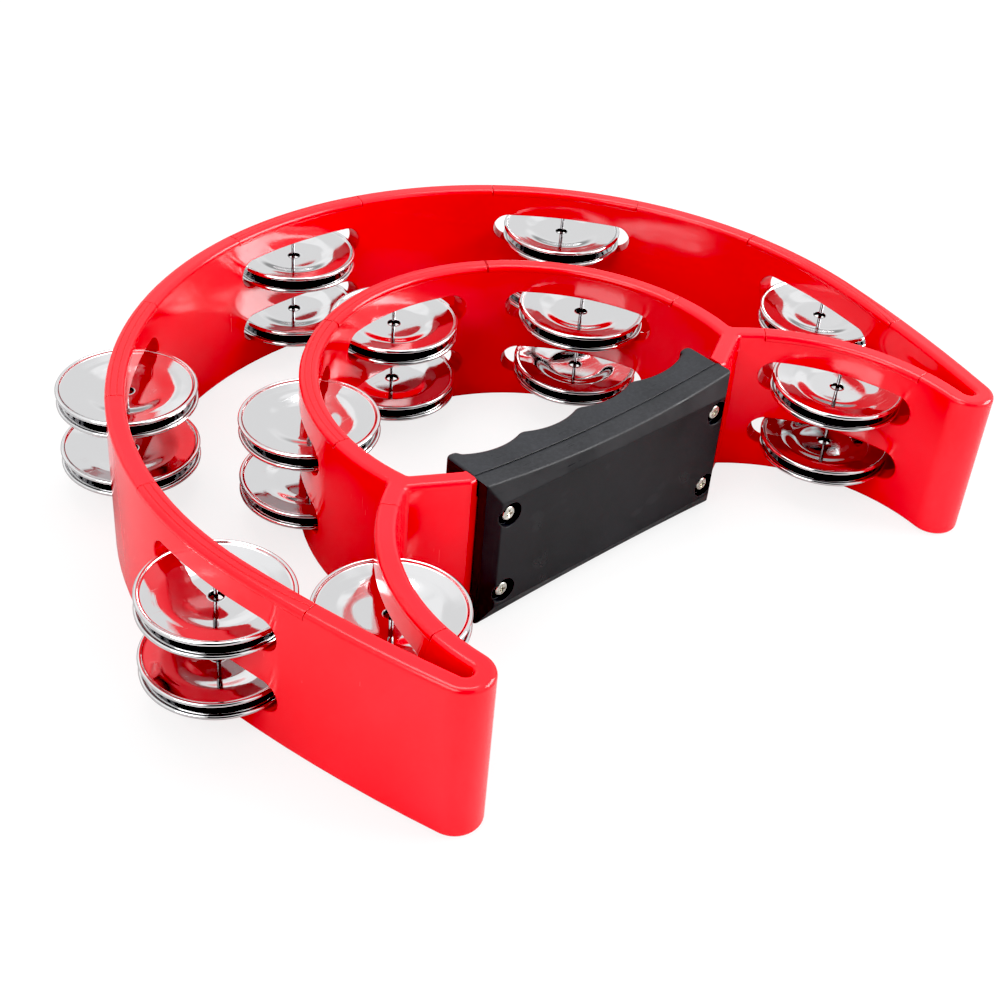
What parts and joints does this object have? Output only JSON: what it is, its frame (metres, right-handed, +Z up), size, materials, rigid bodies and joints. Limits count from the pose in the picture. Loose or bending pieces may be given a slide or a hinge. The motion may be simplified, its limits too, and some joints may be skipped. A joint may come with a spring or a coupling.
{
  "type": "tambourine",
  "caption": "Half-moon hand tambourine: two curved plastic walls joined at their tips, a straight grip with finger grooves, and pairs of loose metal jingles in slots.",
  "frame": {"origin": "middle of the footprint, on the plane the tambourine rests on", "axes": "+Z up, across the walls' height; +Y from the grip towards the round back; +X towards the right tip when held with the grip nearest the holder"},
  "size_m": [0.2872, 0.2346, 0.05],
  "materials": {
    "red_gloss_plastic": "glossy moulded",
    "black_cover_plastic": "fine satin texture",
    "black_grip_plastic": "satin moulded",
    "jingle_chrome": "bright plated sheet steel",
    "pin_steel": "drawn wire",
    "screw_steel": "plated"
  },
  "bodies": {
    "frame": {"frame_shell": "red_gloss_plastic", "pin_caps_outer": "red_gloss_plastic", "pin_caps_ring": "red_gloss_plastic", "pin_caps_horn": "red_gloss_plastic", "handle_front_cover": "black_cover_plastic", "handle_rear_grip": "black_grip_plastic", "handle_screws": "screw_steel"},
    "pin_outer_back": {"pin_outer_back": "pin_steel"},
    "jingle_outer_back_low_a": {"jingle_outer_back_low_a": "jingle_chrome"},
    "jingle_outer_back_low_b": {"jingle_outer_back_low_b": "jingle_chrome"},
    "jingle_outer_back_high_a": {"jingle_outer_back_high_a": "jingle_chrome"},
    "jingle_outer_back_high_b": {"jingle_outer_back_high_b": "jingle_chrome"},
    "pin_outer_rear_right": {"pin_outer_rear_right": "pin_steel"},
    "jingle_outer_rear_right_low_a": {"jingle_outer_rear_right_low_a": "jingle_chrome"},
    "jingle_outer_rear_right_low_b": {"jingle_outer_rear_right_low_b": "jingle_chrome"},
    "jingle_outer_rear_right_high_a": {"jingle_outer_rear_right_high_a": "jingle_chrome"},
    "jingle_outer_rear_right_high_b": {"jingle_outer_rear_right_high_b": "jingle_chrome"},
    "pin_outer_rear_left": {"pin_outer_rear_left": "pin_steel"},
    "jingle_outer_rear_left_low_a": {"jingle_outer_rear_left_low_a": "jingle_chrome"},
    "jingle_outer_rear_left_low_b": {"jingle_outer_rear_left_low_b": "jingle_chrome"},
    "jingle_outer_rear_left_high_a": {"jingle_outer_rear_left_high_a": "jingle_chrome"},
    "jingle_outer_rear_left_high_b": {"jingle_outer_rear_left_high_b": "jingle_chrome"},
    "pin_outer_side_right": {"pin_outer_side_right": "pin_steel"},
    "jingle_outer_side_right_low_a": {"jingle_outer_side_right_low_a": "jingle_chrome"},
    "jingle_outer_side_right_low_b": {"jingle_outer_side_right_low_b": "jingle_chrome"},
    "jingle_outer_side_right_high_a": {"jingle_outer_side_right_high_a": "jingle_chrome"},
    "jingle_outer_side_right_high_b": {"jingle_outer_side_right_high_b": "jingle_chrome"},
    "pin_outer_side_left": {"pin_outer_side_left": "pin_steel"},
    "jingle_outer_side_left_low_a": {"jingle_outer_side_left_low_a": "jingle_chrome"},
    "jingle_outer_side_left_low_b": {"jingle_outer_side_left_low_b": "jingle_chrome"},
    "jingle_outer_side_left_high_a": {"jingle_outer_side_left_high_a": "jingle_chrome"},
    "jingle_outer_side_left_high_b": {"jingle_outer_side_left_high_b": "jingle_chrome"},
    "pin_ring_back": {"pin_ring_back": "pin_steel"},
    "jingle_ring_back_low_a": {"jingle_ring_back_low_a": "jingle_chrome"},
    "jingle_ring_back_low_b": {"jingle_ring_back_low_b": "jingle_chrome"},
    "jingle_ring_back_high_a": {"jingle_ring_back_high_a": "jingle_chrome"},
    "jingle_ring_back_high_b": {"jingle_ring_back_high_b": "jingle_chrome"},
    "pin_ring_side_right": {"pin_ring_side_right": "pin_steel"},
    "jingle_ring_side_right_low_a": {"jingle_ring_side_right_low_a": "jingle_chrome"},
    "jingle_ring_side_right_low_b": {"jingle_ring_side_right_low_b": "jingle_chrome"},
    "jingle_ring_side_right_high_a": {"jingle_ring_side_right_high_a": "jingle_chrome"},
    "jingle_ring_side_right_high_b": {"jingle_ring_side_right_high_b": "jingle_chrome"},
    "pin_ring_side_left": {"pin_ring_side_left": "pin_steel"},
    "jingle_ring_side_left_low_a": {"jingle_ring_side_left_low_a": "jingle_chrome"},
    "jingle_ring_side_left_low_b": {"jingle_ring_side_left_low_b": "jingle_chrome"},
    "jingle_ring_side_left_high_a": {"jingle_ring_side_left_high_a": "jingle_chrome"},
    "jingle_ring_side_left_high_b": {"jingle_ring_side_left_high_b": "jingle_chrome"},
    "pin_horn_right": {"pin_horn_right": "pin_steel"},
    "jingle_horn_right_low_a": {"jingle_horn_right_low_a": "jingle_chrome"},
    "jingle_horn_right_low_b": {"jingle_horn_right_low_b": "jingle_chrome"},
    "jingle_horn_right_high_a": {"jingle_horn_right_high_a": "jingle_chrome"},
    "jingle_horn_right_high_b": {"jingle_horn_right_high_b": "jingle_chrome"},
    "pin_horn_left": {"pin_horn_left": "pin_steel"},
    "jingle_horn_left_low_a": {"jingle_horn_left_low_a": "jingle_chrome"},
    "jingle_horn_left_low_b": {"jingle_horn_left_low_b": "jingle_chrome"},
    "jingle_horn_left_high_a": {"jingle_horn_left_high_a": "jingle_chrome"},
    "jingle_horn_left_high_b": {"jingle_horn_left_high_b": "jingle_chrome"}
  },
  "joints": [
    {"name": "spin_outer_back", "type": "hinge", "parent": "frame", "child": "pin_outer_back", "pos_m": [0, 0.09631, 0.025], "axis": [0, 0, 1], "continuous": true},
    {"name": "hop_outer_back_low_a", "type": "slide", "parent": "pin_outer_back", "child": "jingle_outer_back_low_a", "axis": [0, 0, 1], "range_m": [0, 0.0016]},
    {"name": "hop_outer_back_low_b", "type": "slide", "parent": "jingle_outer_back_low_a", "child": "jingle_outer_back_low_b", "axis": [0, 0, 1], "range_m": [0, 0.0016]},
    {"name": "hop_outer_back_high_a", "type": "slide", "parent": "pin_outer_back", "child": "jingle_outer_back_high_a", "axis": [0, 0, 1], "range_m": [0, 0.0016]},
    {"name": "hop_outer_back_high_b", "type": "slide", "parent": "jingle_outer_back_high_a", "child": "jingle_outer_back_high_b", "axis": [0, 0, 1], "range_m": [0, 0.0016]},
    {"name": "spin_outer_rear_right", "type": "hinge", "parent": "frame", "child": "pin_outer_rear_right", "pos_m": [0.09061, 0.05653, 0.025], "axis": [0, 0, 1], "continuous": true},
    {"name": "hop_outer_rear_right_low_a", "type": "slide", "parent": "pin_outer_rear_right", "child": "jingle_outer_rear_right_low_a", "axis": [0, 0, 1], "range_m": [0, 0.0016]},
    {"name": "hop_outer_rear_right_low_b", "type": "slide", "parent": "jingle_outer_rear_right_low_a", "child": "jingle_outer_rear_right_low_b", "axis": [0, 0, 1], "range_m": [0, 0.0016]},
    {"name": "hop_outer_rear_right_high_a", "type": "slide", "parent": "pin_outer_rear_right", "child": "jingle_outer_rear_right_high_a", "axis": [0, 0, 1], "range_m": [0, 0.0016]},
    {"name": "hop_outer_rear_right_high_b", "type": "slide", "parent": "jingle_outer_rear_right_high_a", "child": "jingle_outer_rear_right_high_b", "axis": [0, 0, 1], "range_m": [0, 0.0016]},
    {"name": "spin_outer_rear_left", "type": "hinge", "parent": "frame", "child": "pin_outer_rear_left", "pos_m": [-0.09061, 0.05653, 0.025], "axis": [0, 0, 1], "continuous": true},
    {"name": "hop_outer_rear_left_low_a", "type": "slide", "parent": "pin_outer_rear_left", "child": "jingle_outer_rear_left_low_a", "axis": [0, 0, 1], "range_m": [0, 0.0016]},
    {"name": "hop_outer_rear_left_low_b", "type": "slide", "parent": "jingle_outer_rear_left_low_a", "child": "jingle_outer_rear_left_low_b", "axis": [0, 0, 1], "range_m": [0, 0.0016]},
    {"name": "hop_outer_rear_left_high_a", "type": "slide", "parent": "pin_outer_rear_left", "child": "jingle_outer_rear_left_high_a", "axis": [0, 0, 1], "range_m": [0, 0.0016]},
    {"name": "hop_outer_rear_left_high_b", "type": "slide", "parent": "jingle_outer_rear_left_high_a", "child": "jingle_outer_rear_left_high_b", "axis": [0, 0, 1], "range_m": [0, 0.0016]},
    {"name": "spin_outer_side_right", "type": "hinge", "parent": "frame", "child": "pin_outer_side_right", "pos_m": [0.12257, -0.03816, 0.025], "axis": [0, 0, 1], "continuous": true},
    {"name": "hop_outer_side_right_low_a", "type": "slide", "parent": "pin_outer_side_right", "child": "jingle_outer_side_right_low_a", "axis": [0, 0, 1], "range_m": [0, 0.0016]},
    {"name": "hop_outer_side_right_low_b", "type": "slide", "parent": "jingle_outer_side_right_low_a", "child": "jingle_outer_side_right_low_b", "axis": [0, 0, 1], "range_m": [0, 0.0016]},
    {"name": "hop_outer_side_right_high_a", "type": "slide", "parent": "pin_outer_side_right", "child": "jingle_outer_side_right_high_a", "axis": [0, 0, 1], "range_m": [0, 0.0016]},
    {"name": "hop_outer_side_right_high_b", "type": "slide", "parent": "jingle_outer_side_right_high_a", "child": "jingle_outer_side_right_high_b", "axis": [0, 0, 1], "range_m": [0, 0.0016]},
    {"name": "spin_outer_side_left", "type": "hinge", "parent": "frame", "child": "pin_outer_side_left", "pos_m": [-0.12257, -0.03816, 0.025], "axis": [0, 0, 1], "continuous": true},
    {"name": "hop_outer_side_left_low_a", "type": "slide", "parent": "pin_outer_side_left", "child": "jingle_outer_side_left_low_a", "axis": [0, 0, 1], "range_m": [0, 0.0016]},
    {"name": "hop_outer_side_left_low_b", "type": "slide", "parent": "jingle_outer_side_left_low_a", "child": "jingle_outer_side_left_low_b", "axis": [0, 0, 1], "range_m": [0, 0.0016]},
    {"name": "hop_outer_side_left_high_a", "type": "slide", "parent": "pin_outer_side_left", "child": "jingle_outer_side_left_high_a", "axis": [0, 0, 1], "range_m": [0, 0.0016]},
    {"name": "hop_outer_side_left_high_b", "type": "slide", "parent": "jingle_outer_side_left_high_a", "child": "jingle_outer_side_left_high_b", "axis": [0, 0, 1], "range_m": [0, 0.0016]},
    {"name": "spin_ring_back", "type": "hinge", "parent": "frame", "child": "pin_ring_back", "pos_m": [0, 0.04131, 0.025], "axis": [0, 0, 1], "continuous": true},
    {"name": "hop_ring_back_low_a", "type": "slide", "parent": "pin_ring_back", "child": "jingle_ring_back_low_a", "axis": [0, 0, 1], "range_m": [0, 0.0016]},
    {"name": "hop_ring_back_low_b", "type": "slide", "parent": "jingle_ring_back_low_a", "child": "jingle_ring_back_low_b", "axis": [0, 0, 1], "range_m": [0, 0.0016]},
    {"name": "hop_ring_back_high_a", "type": "slide", "parent": "pin_ring_back", "child": "jingle_ring_back_high_a", "axis": [0, 0, 1], "range_m": [0, 0.0016]},
    {"name": "hop_ring_back_high_b", "type": "slide", "parent": "jingle_ring_back_high_a", "child": "jingle_ring_back_high_b", "axis": [0, 0, 1], "range_m": [0, 0.0016]},
    {"name": "spin_ring_side_right", "type": "hinge", "parent": "frame", "child": "pin_ring_side_right", "pos_m": [0.05646, 0.01129, 0.025], "axis": [0, 0, 1], "continuous": true},
    {"name": "hop_ring_side_right_low_a", "type": "slide", "parent": "pin_ring_side_right", "child": "jingle_ring_side_right_low_a", "axis": [0, 0, 1], "range_m": [0, 0.0016]},
    {"name": "hop_ring_side_right_low_b", "type": "slide", "parent": "jingle_ring_side_right_low_a", "child": "jingle_ring_side_right_low_b", "axis": [0, 0, 1], "range_m": [0, 0.0016]},
    {"name": "hop_ring_side_right_high_a", "type": "slide", "parent": "pin_ring_side_right", "child": "jingle_ring_side_right_high_a", "axis": [0, 0, 1], "range_m": [0, 0.0016]},
    {"name": "hop_ring_side_right_high_b", "type": "slide", "parent": "jingle_ring_side_right_high_a", "child": "jingle_ring_side_right_high_b", "axis": [0, 0, 1], "range_m": [0, 0.0016]},
    {"name": "spin_ring_side_left", "type": "hinge", "parent": "frame", "child": "pin_ring_side_left", "pos_m": [-0.05646, 0.01129, 0.025], "axis": [0, 0, 1], "continuous": true},
    {"name": "hop_ring_side_left_low_a", "type": "slide", "parent": "pin_ring_side_left", "child": "jingle_ring_side_left_low_a", "axis": [0, 0, 1], "range_m": [0, 0.0016]},
    {"name": "hop_ring_side_left_low_b", "type": "slide", "parent": "jingle_ring_side_left_low_a", "child": "jingle_ring_side_left_low_b", "axis": [0, 0, 1], "range_m": [0, 0.0016]},
    {"name": "hop_ring_side_left_high_a", "type": "slide", "parent": "pin_ring_side_left", "child": "jingle_ring_side_left_high_a", "axis": [0, 0, 1], "range_m": [0, 0.0016]},
    {"name": "hop_ring_side_left_high_b", "type": "slide", "parent": "jingle_ring_side_left_high_a", "child": "jingle_ring_side_left_high_b", "axis": [0, 0, 1], "range_m": [0, 0.0016]},
    {"name": "spin_horn_right", "type": "hinge", "parent": "frame", "child": "pin_horn_right", "pos_m": [0.09127, -0.07065, 0.025], "axis": [0, 0, 1], "continuous": true},
    {"name": "hop_horn_right_low_a", "type": "slide", "parent": "pin_horn_right", "child": "jingle_horn_right_low_a", "axis": [0, 0, 1], "range_m": [0, 0.0016]},
    {"name": "hop_horn_right_low_b", "type": "slide", "parent": "jingle_horn_right_low_a", "child": "jingle_horn_right_low_b", "axis": [0, 0, 1], "range_m": [0, 0.0016]},
    {"name": "hop_horn_right_high_a", "type": "slide", "parent": "pin_horn_right", "child": "jingle_horn_right_high_a", "axis": [0, 0, 1], "range_m": [0, 0.0016]},
    {"name": "hop_horn_right_high_b", "type": "slide", "parent": "jingle_horn_right_high_a", "child": "jingle_horn_right_high_b", "axis": [0, 0, 1], "range_m": [0, 0.0016]},
    {"name": "spin_horn_left", "type": "hinge", "parent": "frame", "child": "pin_horn_left", "pos_m": [-0.09127, -0.07065, 0.025], "axis": [0, 0, 1], "continuous": true},
    {"name": "hop_horn_left_low_a", "type": "slide", "parent": "pin_horn_left", "child": "jingle_horn_left_low_a", "axis": [0, 0, 1], "range_m": [0, 0.0016]},
    {"name": "hop_horn_left_low_b", "type": "slide", "parent": "jingle_horn_left_low_a", "child": "jingle_horn_left_low_b", "axis": [0, 0, 1], "range_m": [0, 0.0016]},
    {"name": "hop_horn_left_high_a", "type": "slide", "parent": "pin_horn_left", "child": "jingle_horn_left_high_a", "axis": [0, 0, 1], "range_m": [0, 0.0016]},
    {"name": "hop_horn_left_high_b", "type": "slide", "parent": "jingle_horn_left_high_a", "child": "jingle_horn_left_high_b", "axis": [0, 0, 1], "range_m": [0, 0.0016]}
  ]
}
